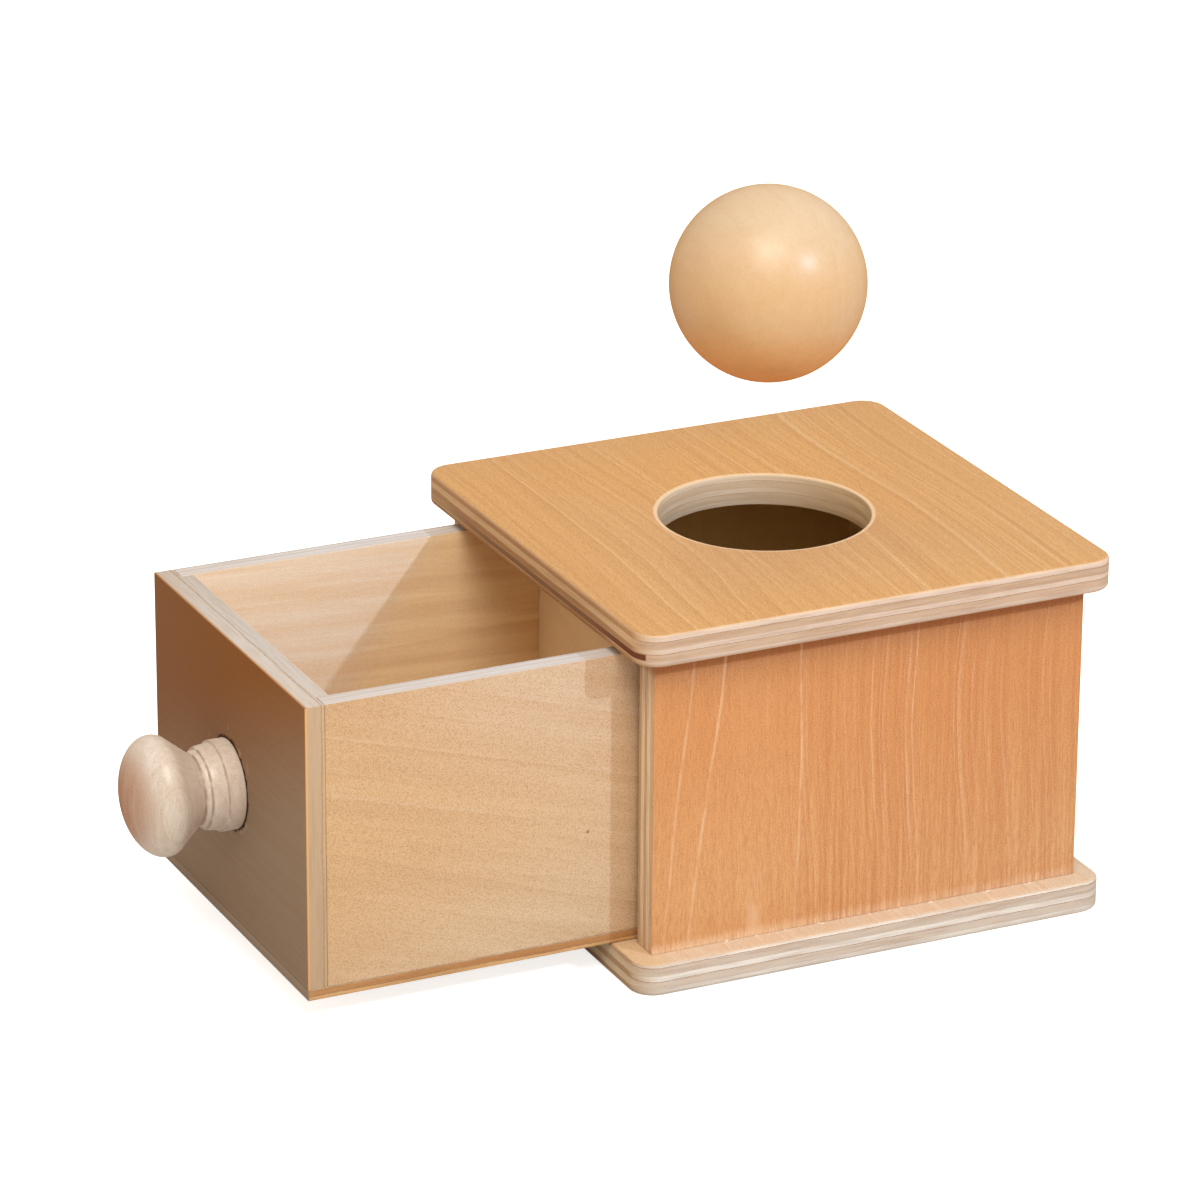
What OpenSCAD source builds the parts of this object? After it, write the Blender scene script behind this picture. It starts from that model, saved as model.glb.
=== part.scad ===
// Object permanence box: a ball drops through the lid into a drawer and is found again by pulling the drawer.
// Millimetres. Origin at the centre of the base plate's underside, +Z up, the drawer pulls out towards -Y.

/* [Plywood] */
// Thickness of the lid, the base and the three walls
housing_ply = 9; // [6:0.5:12]
// Thickness of the drawer front
front_ply = 9; // [7:0.5:12]
// Thickness of the drawer sides and back
drawer_ply = 6; // [4:0.5:8]
// Thickness of the drawer bottom
bottom_ply = 3; // [2:0.5:5]

/* [Housing] */
// Width of the lid and the base, side to side
plate_w = 140; // [125:1:200]
// Depth of the lid and the base, front to back
plate_d = 140; // [125:1:200]
// Corner radius of the lid and the base
plate_corner_r = 7; // [4:0.5:15]
// Radius of the sanded edges of the lid and the base
plate_ease = 1.2; // [0.5:0.1:2]
// How far the lid and the base stand out past the walls
overhang = 6.5; // [3:0.5:12]
// Height of the walls
wall_h = 84; // [75:1:130]

/* [Ball] */
// Diameter of the ball
ball_d = 53; // [40:1:60]
// Room between the ball and the hole, all round
ball_gap = 2.4; // [1.5:0.1:4]
// Chamfer around the hole's rim
hole_chamfer = 0.8; // [0.3:0.1:1.5]
// Height of the ball above the lid as stored
ball_hover = 38.5; // [5:0.5:60]

/* [Drawer] */
// Room on each side of the drawer
side_gap = 2.2; // [1:0.1:4]
// Room between the drawer and the lid
top_gap = 1.9; // [1:0.1:4]
// Room under the drawer, so that it slides
floor_gap = 0.1; // [0.05:0.05:0.5]
// Room behind the closed drawer
back_gap = 1; // [0.5:0.1:4]
// How far the drawer is pulled out as stored
drawer_pull = 93; // [0:1:100]
// Depth of the rabbets in the drawer front, where the sides lap in
front_rabbet = 3.5; // [2:0.1:4.5]
// Depth of the rabbets in the drawer sides, where the back sits
back_rabbet = 3; // [1.5:0.1:3.5]

/* [Knob] */
// Diameter of the knob's head
knob_head_d = 32.5; // [26:0.5:40]
// How far the knob stands out from the drawer front
knob_h = 29.5; // [28:0.5:38]
// Diameter of the knob's flange
knob_base_d = 24.5; // [23:0.5:30]
// Diameter of the knob's neck
knob_neck_d = 18.5; // [14:0.5:19]
// Depth of each step turned into the collar
knob_step = 0.4; // [0.2:0.1:0.8]

/* [Fixings] */
// Diameter of the wooden dowels
dowel_d = 4; // [3:0.5:4.5]
// How deep a dowel goes into the face of a board
dowel_in_face = 5; // [3:0.5:5]
// How deep a dowel goes into the edge of a board
dowel_in_edge = 11; // [8:1:14]
// Glue gap around a dowel
dowel_gap = 0.05; // [0.02:0.01:0.1]
// Diameter of the knob's screw
screw_d = 4; // [3:0.5:5]
// How deep the screw goes into the knob
screw_in_knob = 16; // [10:1:20]
// Diameter of the screw's head
screw_head_d = 8; // [7:0.5:10]
// Height of the screw's head
screw_head_h = 2.6; // [2:0.1:3.5]
// Room around the screw in the drawer front and in the knob
screw_gap = 0.1; // [0.05:0.05:0.3]

/* [Hidden] */
$fn = 96;
eps = 0.01;
arc_steps = 12;
ease_steps = 4;

wall_x = plate_w / 2 - overhang;
wall_y = plate_d / 2 - overhang;
bay_x = wall_x - housing_ply;
bay_back = wall_y - housing_ply;
lid_z = housing_ply + wall_h;
top_z = lid_z + housing_ply;
hole_d = ball_d + 2 * ball_gap;
ball_z = top_z + ball_hover + ball_d / 2;

drawer_x = bay_x - side_gap;
drawer_l = bay_back + wall_y - back_gap;
drawer_h = wall_h - top_gap - floor_gap;
drawer_y = -wall_y - drawer_pull;
drawer_z = housing_ply + floor_gap;
inner_x = drawer_x - drawer_ply;
board_h = drawer_h - bottom_ply;
knob_z = drawer_h / 2;

side_dowel_y = wall_y * 0.6;
back_dowel_x = bay_x * 0.5;
corner_dowel_z = wall_h * 0.28;

base_r = knob_base_d / 2;
head_r = knob_head_d / 2;
neck_r = knob_neck_d / 2;
seat_ease = 0.35;
flange_h = knob_h * 0.158;
band_h = knob_h * 0.3;
neck_h = knob_h * 0.352;
rim_h = knob_h * 0.69;
bead_r = (base_r + neck_r) / 2;
rim_r = head_r * 0.215;
rim_l = knob_h * 0.14;

// Points on an arc of an ellipse, from angle a0 to a1
function arc(cx, cy, rx, ry, a0, a1, n = arc_steps) =
    [for (i = [0:n]) let(a = a0 + (a1 - a0) * i / n) [cx + rx * cos(a), cy + ry * sin(a)]];

// Section of a board, from 0 to l, with both edges at l sanded round
function eased_end(l, t, e) = concat(
    [[0, 0]],
    arc(l - e, e, e, e, -90, 0, ease_steps),
    arc(l - e, t - e, e, e, 0, 90, ease_steps),
    [[0, t]]
);

// A quarter of a plate's rounded corner
module plate_corner() {
    rotate_extrude(angle = 90)
        polygon(eased_end(plate_corner_r, housing_ply, plate_ease));
}

// One straight side strip of a plate, l long, its sanded edge towards +X
module plate_side(l) {
    translate([0, l / 2, 0])
        rotate([90, 0, 0])
            linear_extrude(l)
                polygon(eased_end(plate_corner_r, housing_ply, plate_ease));
}

// Square plate with round corners and sanded edges: a core, four strips and four corners
module plate() {
    core_x = plate_w / 2 - plate_corner_r;
    core_y = plate_d / 2 - plate_corner_r;
    translate([-core_x, -core_y, 0])
        cube([2 * core_x, 2 * core_y, housing_ply]);
    for (turn = [0, 180]) {
        rotate(turn) {
            translate([core_x, 0, 0])
                plate_side(2 * core_y);
            translate([core_x, core_y, 0])
                plate_corner();
        }
        rotate(turn + 90) {
            translate([core_y, 0, 0])
                plate_side(2 * core_x);
            translate([core_y, core_x, 0])
                plate_corner();
        }
    }
}

// Upright dowels of the three walls: from z0, h long, r in radius
module upright_pegs(z0, h, r) {
    for (side = [-1, 1]) {
        for (end = [-1, 1])
            translate([side * (bay_x + housing_ply / 2), end * side_dowel_y, z0])
                cylinder(h = h, r = r);
        translate([side * back_dowel_x, bay_back + housing_ply / 2, z0])
            cylinder(h = h, r = r);
    }
}

// Level dowels that join one side wall to the back wall: side is 1 or -1
module level_pegs(side, r) {
    for (end = [-1, 1])
        translate([side * (bay_x - dowel_in_edge), bay_back + housing_ply / 2,
                housing_ply + wall_h / 2 + end * corner_dowel_z])
            rotate([0, side * 90, 0])
                cylinder(h = dowel_in_edge + dowel_in_face, r = r);
}

dowel_r = dowel_d / 2;
socket_r = dowel_r + dowel_gap;
dowel_len = dowel_in_face + dowel_in_edge;
base_dowel_z = housing_ply - dowel_in_face;
lid_dowel_z = lid_z - dowel_in_edge;

// Sockets for every dowel in the walls and the plates
module sockets() {
    upright_pegs(base_dowel_z, dowel_len, socket_r);
    upright_pegs(lid_dowel_z, dowel_len, socket_r);
    level_pegs(1, socket_r);
    level_pegs(-1, socket_r);
}

module base_plate() {
    color([0.85, 0.68, 0.46])
        difference() {
            plate();
            upright_pegs(base_dowel_z, dowel_len, socket_r);
        }
}

module side_wall(side) {
    difference() {
        translate([side > 0 ? bay_x : -wall_x, -wall_y, housing_ply])
            cube([housing_ply, 2 * wall_y, wall_h]);
        sockets();
    }
}

module left_wall() {
    color([0.84, 0.58, 0.38])
        side_wall(-1);
}

module right_wall() {
    color([0.84, 0.58, 0.38])
        side_wall(1);
}

module back_wall() {
    color([0.84, 0.58, 0.38])
        difference() {
            translate([-bay_x, bay_back, housing_ply])
                cube([2 * bay_x, housing_ply, wall_h]);
            sockets();
        }
}

module lid() {
    color([0.87, 0.66, 0.43])
        difference() {
            translate([0, 0, lid_z])
                plate();
            translate([0, 0, lid_z - 1])
                cylinder(h = housing_ply + 2, d = hole_d);
            translate([0, 0, top_z - hole_chamfer])
                cylinder(h = hole_chamfer + eps, d1 = hole_d, d2 = hole_d + 2 * (hole_chamfer + eps));
            upright_pegs(lid_dowel_z, dowel_len, socket_r);
        }
}

module base_dowels() {
    color([0.88, 0.76, 0.58])
        upright_pegs(base_dowel_z, dowel_len, dowel_r);
}

module lid_dowels() {
    color([0.88, 0.76, 0.58])
        upright_pegs(lid_dowel_z, dowel_len, dowel_r);
}

module back_wall_dowels() {
    color([0.88, 0.76, 0.58]) {
        level_pegs(1, dowel_r);
        level_pegs(-1, dowel_r);
    }
}

// Moves the drawer from its own corner frame (front face at y = 0, underside at z = 0) to where it is stored
module in_drawer() {
    translate([0, drawer_y, drawer_z])
        children();
}

module drawer_front() {
    color([0.62, 0.42, 0.25])
        in_drawer()
            difference() {
                translate([-drawer_x, 0, bottom_ply])
                    cube([2 * drawer_x, front_ply, board_h]);
                for (side = [-1, 1])
                    translate([side * (inner_x + drawer_x + 1) / 2, front_ply - front_rabbet / 2 + 0.5,
                            drawer_h / 2])
                        cube([drawer_ply + 1, front_rabbet + 1, drawer_h + 2], center = true);
                translate([0, -1, knob_z])
                    rotate([-90, 0, 0])
                        cylinder(h = front_ply + 2, r = screw_d / 2 + screw_gap);
            }
}

module drawer_side(side) {
    start = front_ply - front_rabbet;
    difference() {
        translate([side > 0 ? inner_x : -drawer_x, start, bottom_ply])
            cube([drawer_ply, drawer_l - start, board_h]);
        translate([side > 0 ? inner_x - 1 : -inner_x - back_rabbet, drawer_l - drawer_ply, 0])
            cube([back_rabbet + 1, drawer_ply + 1, drawer_h + 1]);
    }
}

module drawer_left_side() {
    color([0.87, 0.72, 0.53])
        in_drawer()
            drawer_side(-1);
}

module drawer_right_side() {
    color([0.87, 0.72, 0.53])
        in_drawer()
            drawer_side(1);
}

module drawer_back() {
    color([0.87, 0.72, 0.53])
        in_drawer()
            translate([-inner_x - back_rabbet, drawer_l - drawer_ply, bottom_ply])
                cube([2 * (inner_x + back_rabbet), drawer_ply, board_h]);
}

module drawer_bottom() {
    color([0.84, 0.66, 0.46])
        in_drawer()
            translate([-drawer_x, 0, 0])
                cube([2 * drawer_x, drawer_l, bottom_ply]);
}

// Half section of the knob: seat, flange, two turned steps down to the neck, coned underside, rim and dome
function knob_section() = concat(
    [[0, 0], [base_r - seat_ease, 0]],
    arc(base_r - seat_ease, seat_ease, seat_ease, seat_ease, -80, 0, ease_steps),
    arc(base_r - seat_ease, flange_h - seat_ease, seat_ease, seat_ease, 0, 80, ease_steps),
    arc(bead_r, flange_h, base_r - seat_ease - knob_step - bead_r, band_h - flange_h, 4, 86),
    arc(neck_r, band_h, bead_r - knob_step - neck_r, neck_h - band_h, 4, 86, ease_steps),
    arc(head_r - rim_r, rim_h, rim_r, rim_l, -45, 0, ease_steps),
    arc(0, rim_h, head_r, knob_h - rim_h, 5, 90, 2 * arc_steps)
);

// Turned pieces stand on the drawer front with their axis towards -Y
module on_front(y) {
    in_drawer()
        translate([0, y, knob_z])
            rotate([90, 0, 0])
                children();
}

module knob() {
    color([0.86, 0.72, 0.58])
        on_front(0)
            difference() {
                rotate_extrude()
                    polygon(knob_section());
                translate([0, 0, -1])
                    cylinder(h = screw_in_knob + 1, r = screw_d / 2 + screw_gap);
            }
}

module knob_screw() {
    slot = screw_head_d * 0.12;
    color([0.72, 0.72, 0.70])
        on_front(front_ply)
            difference() {
                union() {
                    cylinder(h = front_ply + screw_in_knob, d = screw_d);
                    rotate([180, 0, 0])
                        rotate_extrude()
                            polygon(concat(
                                [[0, 0], [screw_head_d / 2, 0]],
                                arc(0, screw_head_h * 0.35, screw_head_d / 2, screw_head_h * 0.65, 0, 90)
                            ));
                }
                for (turn = [0, 90])
                    rotate(turn)
                        translate([-screw_head_d * 0.28, -slot / 2, -screw_head_h - 1])
                            cube([screw_head_d * 0.56, slot, screw_head_h * 0.55 + 1]);
            }
}

module ball() {
    color([0.91, 0.75, 0.55])
        translate([0, 0, ball_z])
            sphere(d = ball_d);
}

base_plate();
left_wall();
right_wall();
back_wall();
lid();
base_dowels();
lid_dowels();
back_wall_dowels();
drawer_front();
drawer_left_side();
drawer_right_side();
drawer_back();
drawer_bottom();
knob();
knob_screw();
ball();
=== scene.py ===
# %% [markdown]
# A ball-drop box, dressed around its measured frame.
# The real object is a small plywood box with a round hole in its lid, a drawer with a turned knob and a
# lacquered ball. The frame brings every board at its true size, so this script only has to give the boards
# softened edges, the turned pieces their profile, and all of them the look of wood.

# %% Load the frame
import math
import random

import bmesh
import bpy
from mathutils import Matrix, Vector


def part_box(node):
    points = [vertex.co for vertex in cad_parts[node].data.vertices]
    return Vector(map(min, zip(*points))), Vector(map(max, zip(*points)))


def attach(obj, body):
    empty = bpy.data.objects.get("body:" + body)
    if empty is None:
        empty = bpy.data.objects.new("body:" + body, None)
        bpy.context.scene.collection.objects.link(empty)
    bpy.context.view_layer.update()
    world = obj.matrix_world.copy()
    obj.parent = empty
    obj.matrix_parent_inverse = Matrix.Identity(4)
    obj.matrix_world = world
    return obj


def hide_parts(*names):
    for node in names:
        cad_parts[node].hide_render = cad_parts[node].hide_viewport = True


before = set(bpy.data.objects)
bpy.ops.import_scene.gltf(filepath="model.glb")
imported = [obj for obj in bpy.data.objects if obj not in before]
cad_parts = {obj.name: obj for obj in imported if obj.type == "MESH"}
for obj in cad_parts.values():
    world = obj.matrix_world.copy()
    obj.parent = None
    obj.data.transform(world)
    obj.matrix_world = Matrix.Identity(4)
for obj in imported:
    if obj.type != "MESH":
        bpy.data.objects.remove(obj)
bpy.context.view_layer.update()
MM = 0.001

# %% [markdown]
# The camera comes first, because every later choice is judged through it.
# A long lens stands far off, to the right of the drawer's direction and a little above the lid. Its place is
# given the way a photographer would say it: how far round, how high, how far away, and where in the picture
# the middle of the box's foot falls. A look-at constraint couldn't place the subject off centre.

# %% Camera
AZIMUTH = math.radians(64.57)
ELEVATION = math.radians(21.52)
ROLL = math.radians(-0.37)
LENS_MM = 181.9
SENSOR_MM = 36.0
DISTANCE = 1.6754
FOOT_RIGHT = 0.0438
FOOT_DOWN = 0.0710

back = Vector((
    math.sin(AZIMUTH) * math.cos(ELEVATION),
    -math.cos(AZIMUTH) * math.cos(ELEVATION),
    math.sin(ELEVATION),
))
level = Vector((0, 0, 1)).cross(back).normalized()
plumb = back.cross(level)
right = level * math.cos(ROLL) - plumb * math.sin(ROLL)
up = plumb * math.cos(ROLL) + level * math.sin(ROLL)


def add_object(name, data):
    """Puts an object with this data into the scene."""
    added = bpy.data.objects.new(name, data)
    bpy.context.scene.collection.objects.link(added)
    return added


camera_data = bpy.data.cameras.new("camera")
camera_data.lens = LENS_MM
camera_data.sensor_width = SENSOR_MM
camera = add_object("camera", camera_data)
camera.matrix_world = Matrix((right, up, back)).transposed().to_4x4()
camera.location = back * DISTANCE - right * FOOT_RIGHT + up * FOOT_DOWN
bpy.context.scene.camera = camera
print("camera at", [round(c, 3) for c in camera.location])

# %% [markdown]
# The object stands on a pale floor in a white room.
# A small cool lamp on the right, a little behind the box, draws the slanting shadow inside the drawer. A
# large warm panel above fills everything else, so that light is white where both fall and warm in the shade.
# Both stand far off for their size, so that the light doesn't fade from one end of the box to the other.

# %% Floor and lamps
FLOOR_SIZE = 12.0
AIM = Vector((0.0, -0.04, 0.06))
LAMP_DISTANCE = 3.0
# Name, direction as seen from the box, size, power in watts and colour
LAMPS = (
    ("key", (0.70, 0.42, 0.55), 0.07, 36.0, (0.55, 0.75, 1.0)),
    ("fill", (0.50, -0.21, 0.84), 1.5, 54.0, (1.0, 0.97, 0.87)),
)
for name, direction, size, power, tint in LAMPS:
    data = bpy.data.lights.new(name, "AREA")
    data.energy = power
    data.size = size
    data.color = tint
    lamp = add_object(name, data)
    towards = Vector(direction).normalized()
    lamp.location = AIM + towards * LAMP_DISTANCE
    lamp.rotation_euler = towards.to_track_quat("Z", "Y").to_euler()

bm = bmesh.new()
bmesh.ops.create_grid(bm, x_segments=1, y_segments=1, size=FLOOR_SIZE / 2)
floor_mesh = bpy.data.meshes.new("floor")
bm.to_mesh(floor_mesh)
bm.free()
floor = add_object("floor", floor_mesh)
print("floor", FLOOR_SIZE, "m across,", len(LAMPS), "lamps")

# %% [markdown]
# Materials are trees of nodes, and a few small helpers keep them readable.
# The first adds any node and fills its sockets, by a value or by a link from another node. A link also tells
# it which tree to work in. The others are the nodes that come up most. Colours are written the way a paint
# chart does, as 0 to 255, and turned into the linear values that Blender works in.

# %% Helpers for node trees


def wire(kind, inputs=None, tree=None, **settings):
    """Adds one node. Inputs are values, or sockets to link from. A node without links needs its tree."""
    inputs = inputs or {}
    links = {key: value for key, value in inputs.items() if isinstance(value, bpy.types.NodeSocket)}
    tree = tree or next(iter(links.values())).id_data
    node = tree.nodes.new("ShaderNode" + kind)
    for key, value in settings.items():
        setattr(node, key, value)
    for key, value in inputs.items():
        if key in links:
            tree.links.new(value, node.inputs[key])
        else:
            node.inputs[key].default_value = value
    return node


def maths(operation, first, second=0.0):
    return wire("Math", {0: first, 1: second}, operation=operation).outputs[0]


def times(first, *others):
    """Multiplies masks and strengths."""
    for other in others:
        first = maths("MULTIPLY", first, other)
    return first


def mix_colour(amount, first, second):
    return wire("Mix", {0: amount, 6: first, 7: second}, data_type="RGBA").outputs[2]


def mix_value(amount, first, second):
    return wire("Mix", {0: amount, 2: first, 3: second}).outputs[0]


def ramp_up(value, low, high, to_low=0.0, to_high=1.0):
    """Turns low..high into to_low..to_high with soft ends."""
    ends = {"From Min": low, "From Max": high, "To Min": to_low, "To Max": to_high}
    return wire("MapRange", {"Value": value} | ends, interpolation_type="SMOOTHSTEP").outputs["Result"]


def colour(red, green, blue):
    """A colour as 0 to 255, as linear red, green, blue and alpha."""
    def linear(c):
        c = c / 255
        return c / 12.92 if c <= 0.04045 else ((c + 0.055) / 1.055) ** 2.4

    return (linear(red), linear(green), linear(blue), 1.0)


def new_material(name):
    """A material and its tree, still empty."""
    material = bpy.data.materials.new(name)
    material.use_nodes = True
    material.node_tree.nodes.clear()
    return material, material.node_tree


print("helpers for node trees ready")

# %% [markdown]
# The floor's material answers two questions differently.
# To the camera, and in reflections, it is a white sheet, which glows for the camera so that its shadows stay
# pale. To light that bounces it is a mid grey, so that it doesn't flood the shaded side of the box. Light
# Path tells the two apart, and does the same for the room: a white backdrop, whose own light is softer and
# warm.

# %% Floor material and the room's light
FLOOR_WHITE = (0.85, 0.85, 0.85, 1.0)
FLOOR_BOUNCE = (0.68, 0.66, 0.63, 1.0)
FLOOR_GLOW = 0.75
ROOM_LIGHT = (0.62, 0.545, 0.43, 1.0)
WHITE = (1.0, 1.0, 1.0, 1.0)


def seen_or_mirrored(tree):
    """Two masks: what the camera sees directly, and that with what it sees mirrored or through glass."""
    path = wire("LightPath", tree=tree).outputs
    seen = maths("MAXIMUM", path["Is Camera Ray"], path["Is Glossy Ray"])
    return path["Is Camera Ray"], maths("MAXIMUM", seen, path["Is Transmission Ray"])


floor_material, tree = new_material("white_floor")
direct, seen = seen_or_mirrored(tree)
sheet = wire("BsdfDiffuse", {"Color": mix_colour(seen, FLOOR_BOUNCE, FLOOR_WHITE)})
glow = wire("Emission", {"Color": WHITE, "Strength": times(direct, FLOOR_GLOW)})
both = wire("AddShader", {0: sheet.outputs[0], 1: glow.outputs[0]})
wire("OutputMaterial", {"Surface": both.outputs[0]})
floor_mesh.materials.append(floor_material)

world = bpy.data.worlds.new("white_room")
world.use_nodes = True
bpy.context.scene.world = world
world.node_tree.nodes.clear()
_, seen = seen_or_mirrored(world.node_tree)
backdrop = wire("Background", {"Color": mix_colour(seen, ROOM_LIGHT, WHITE)})
wire("OutputWorld", {"Surface": backdrop.outputs[0]})
bpy.context.scene.view_settings.view_transform = "Standard"
print("floor shown white, room light", ROOM_LIGHT[:3])

# %% [markdown]
# Every piece ends in the same way: the bmesh becomes a mesh, the mesh an object at the origin, and the object
# rides on its body and stands for its CAD node.
# Smooth shading with sharp edges above an angle keeps flat faces flat and lets softened edges catch the
# light. Flat shading would be simpler, but would show every step of a bevel.

# %% Helpers for pieces
SHARP_ANGLE = math.radians(38)
pieces = {}


def make_piece(name, bm, body, node):
    bmesh.ops.recalc_face_normals(bm, faces=bm.faces)
    mesh = bpy.data.meshes.new(name)
    bm.to_mesh(mesh)
    bm.free()
    mesh.shade_smooth()
    mesh.set_sharp_from_angle(angle=SHARP_ANGLE)
    piece = add_object(name, mesh)
    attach(piece, body)
    if node:
        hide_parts(node)
    pieces[node or name] = piece
    print(name, "has", len(mesh.polygons), "faces")


def soften(bm, edges, width, segments=2):
    """Sands edges round."""
    bmesh.ops.bevel(
        bm, geom=list(edges), offset=width, segments=segments, profile=0.5, affect="EDGES", material=-1
    )


print("helpers for pieces ready")

# %% [markdown]
# The lid and the base are the same square plate with round corners.
# A plate could be a scaled cube, but its corners are easier to round while it is still flat: four corner
# points make a face, a vertex bevel rounds it, and an extrusion gives it its thickness. The lid's round hole
# is a circle bridged to the outline before the extrusion, so the hole's wall comes with it.

# %% Lid and base
CORNER_RADIUS = 7 * MM
CORNER_STEPS = 10
EDGE_EASE = 1.2 * MM
EDGE_STEPS = 4
HOLE_EASE = 0.6 * MM
HOLE_STEPS = 96
BALL_GAP = 2.4 * MM
RIM_ANGLE = math.radians(60)
HAIR = 0.01 * MM


def rounded_square(low, high):
    """A flat outline with round corners, at the height of the low corner."""
    bm = bmesh.new()
    corners = [(low.x, low.y), (high.x, low.y), (high.x, high.y), (low.x, high.y)]
    bm.faces.new([bm.verts.new((x, y, low.z)) for x, y in corners])
    bmesh.ops.bevel(
        bm, geom=bm.verts[:], offset=CORNER_RADIUS, segments=CORNER_STEPS, profile=0.5,
        affect="VERTICES", material=-1,
    )
    return bm


def thicken(bm, height):
    """Extrudes flat faces upwards into a board."""
    grown = bmesh.ops.extrude_face_region(bm, geom=bm.faces[:])["geom"]
    raised = [g for g in grown if isinstance(g, bmesh.types.BMVert)]
    bmesh.ops.translate(bm, vec=(0, 0, height), verts=raised)
    bmesh.ops.recalc_face_normals(bm, faces=bm.faces)


def level_rims(bm, hole_radius):
    """The sharp level edges of a board, above and below: those of its outline, and those of its hole."""
    outline, hole = [], []
    for edge in bm.edges:
        flat = abs(edge.verts[0].co.z - edge.verts[1].co.z) < HAIR
        if flat and edge.calc_face_angle() > RIM_ANGLE:
            in_hole = edge.verts[0].co.xy.length < hole_radius + 1 * MM
            (hole if in_hole else outline).append(edge)
    return outline, hole


def plate(node, hole_radius=0.0):
    low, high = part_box(node)
    bm = rounded_square(low, high)
    if hole_radius:
        bmesh.ops.delete(bm, geom=bm.faces[:], context="FACES_ONLY")
        outline = bm.edges[:]
        ring = bmesh.ops.create_circle(bm, cap_ends=False, segments=HOLE_STEPS, radius=hole_radius)["verts"]
        bmesh.ops.translate(bm, vec=(0, 0, low.z), verts=ring)
        rim = list({edge for vert in ring for edge in vert.link_edges})
        bmesh.ops.bridge_loops(bm, edges=outline + rim)
    thicken(bm, high.z - low.z)
    outline, hole = level_rims(bm, hole_radius)
    soften(bm, outline, EDGE_EASE, EDGE_STEPS)
    soften(bm, hole, HOLE_EASE)
    return bm


ball_low, ball_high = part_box("ball")
ball_radius = (ball_high.z - ball_low.z) / 2
hole_radius = ball_radius + BALL_GAP
make_piece("base_board", plate("base_plate"), "housing", "base_plate")
make_piece("lid_board", plate("lid", hole_radius), "housing", "lid")

# %% [markdown]
# The three walls and the plain boards of the drawer are sawn straight and only lightly sanded.
# A cube set to the board's box and a narrow bevel on all its edges is enough. The bevel matters more than its
# size suggests: it catches the thin lines of light that tell the eye where one board ends.

# %% Walls and plain drawer boards
SANDED = 0.28 * MM


def board(node):
    low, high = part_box(node)
    bm = bmesh.new()
    bmesh.ops.create_cube(bm, size=1.0)
    bmesh.ops.scale(bm, vec=high - low, verts=bm.verts)
    bmesh.ops.translate(bm, vec=(low + high) / 2, verts=bm.verts)
    soften(bm, bm.edges, SANDED)
    return bm


for node in ("left_wall", "right_wall", "back_wall"):
    make_piece(node + "_board", board(node), "housing", node)
for node in ("drawer_back", "drawer_bottom"):
    make_piece(node + "_board", board(node), "drawer", node)

# %% [markdown]
# The drawer front is rabbeted at both ends, and the sides lap into it. Seen from above, the front is a wide T
# and a side is a plank with a notch at its back end.
# Cutting notches out of cubes would need a boolean. Drawing the outline seen from above and extruding it
# upwards gives the same boards with clean edges.

# %% Drawer front and sides
front_low, front_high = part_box("drawer_front")
side_low, side_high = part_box("drawer_right_side")
back_low, back_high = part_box("drawer_back")


def outline_board(points, z_low, z_high):
    """A board from its outline seen from above."""
    bm = bmesh.new()
    bm.faces.new([bm.verts.new((x, y, z_low)) for x, y in points])
    thicken(bm, z_high - z_low)
    soften(bm, bm.edges, SANDED)
    return bm


front_outline = [
    (front_low.x, front_low.y), (front_high.x, front_low.y),
    (front_high.x, side_low.y), (side_low.x, side_low.y),
    (side_low.x, front_high.y), (-side_low.x, front_high.y),
    (-side_low.x, side_low.y), (front_low.x, side_low.y),
]
side_outline = [
    (side_low.x, side_low.y), (side_high.x, side_low.y),
    (side_high.x, side_high.y), (back_high.x, side_high.y),
    (back_high.x, back_low.y), (side_low.x, back_low.y),
]
make_piece(
    "drawer_front_board", outline_board(front_outline, front_low.z, front_high.z),
    "drawer", "drawer_front",
)
for node, hand in (("drawer_right_side", 1), ("drawer_left_side", -1)):
    outline = [(hand * x, y) for x, y in side_outline]
    make_piece(
        node + "_board", outline_board(outline, side_low.z, side_high.z), "drawer", node
    )

# %% [markdown]
# The knob is a lathe piece: a flange against the drawer, two turned steps down to the neck, and a head whose
# underside is a cone, with a round rim and a dome.
# Spinning its half section round the axis is what a lathe does, and arcs keep the section short: each line of
# the list below is one cut of the gouge.

# %% Knob
KNOB_BASE_RADIUS = 12.25 * MM
KNOB_NECK_RADIUS = 9.25 * MM
KNOB_STEP = 0.4 * MM
SEAT_EASE = 0.35 * MM
# Where the flange, the bead and the neck end and where the rim is widest, as parts of the knob's height
KNOB_CUTS = (0.158, 0.3, 0.352, 0.69)
RIM_ROUND, RIM_LENGTH = 0.215, 0.14
SPIN_STEPS = 128
WELD = 0.002 * MM
knob_low, knob_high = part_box("knob")
knob_height = knob_high.y - knob_low.y
head_radius = (knob_high.x - knob_low.x) / 2
knob_axis_z = (knob_low.z + knob_high.z) / 2
flange, bead, neck, rim = (knob_height * part for part in KNOB_CUTS)
flange_radius = KNOB_BASE_RADIUS - SEAT_EASE
bead_radius = (KNOB_BASE_RADIUS + KNOB_NECK_RADIUS) / 2
rim_radius = head_radius * RIM_ROUND


def arc(centre_r, centre_h, radius_r, radius_h, start, end, steps):
    """Points on an arc, as radius and height."""
    angles = [math.radians(start + (end - start) * i / steps) for i in range(steps + 1)]
    return [(centre_r + radius_r * math.cos(a), centre_h + radius_h * math.sin(a)) for a in angles]


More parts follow.
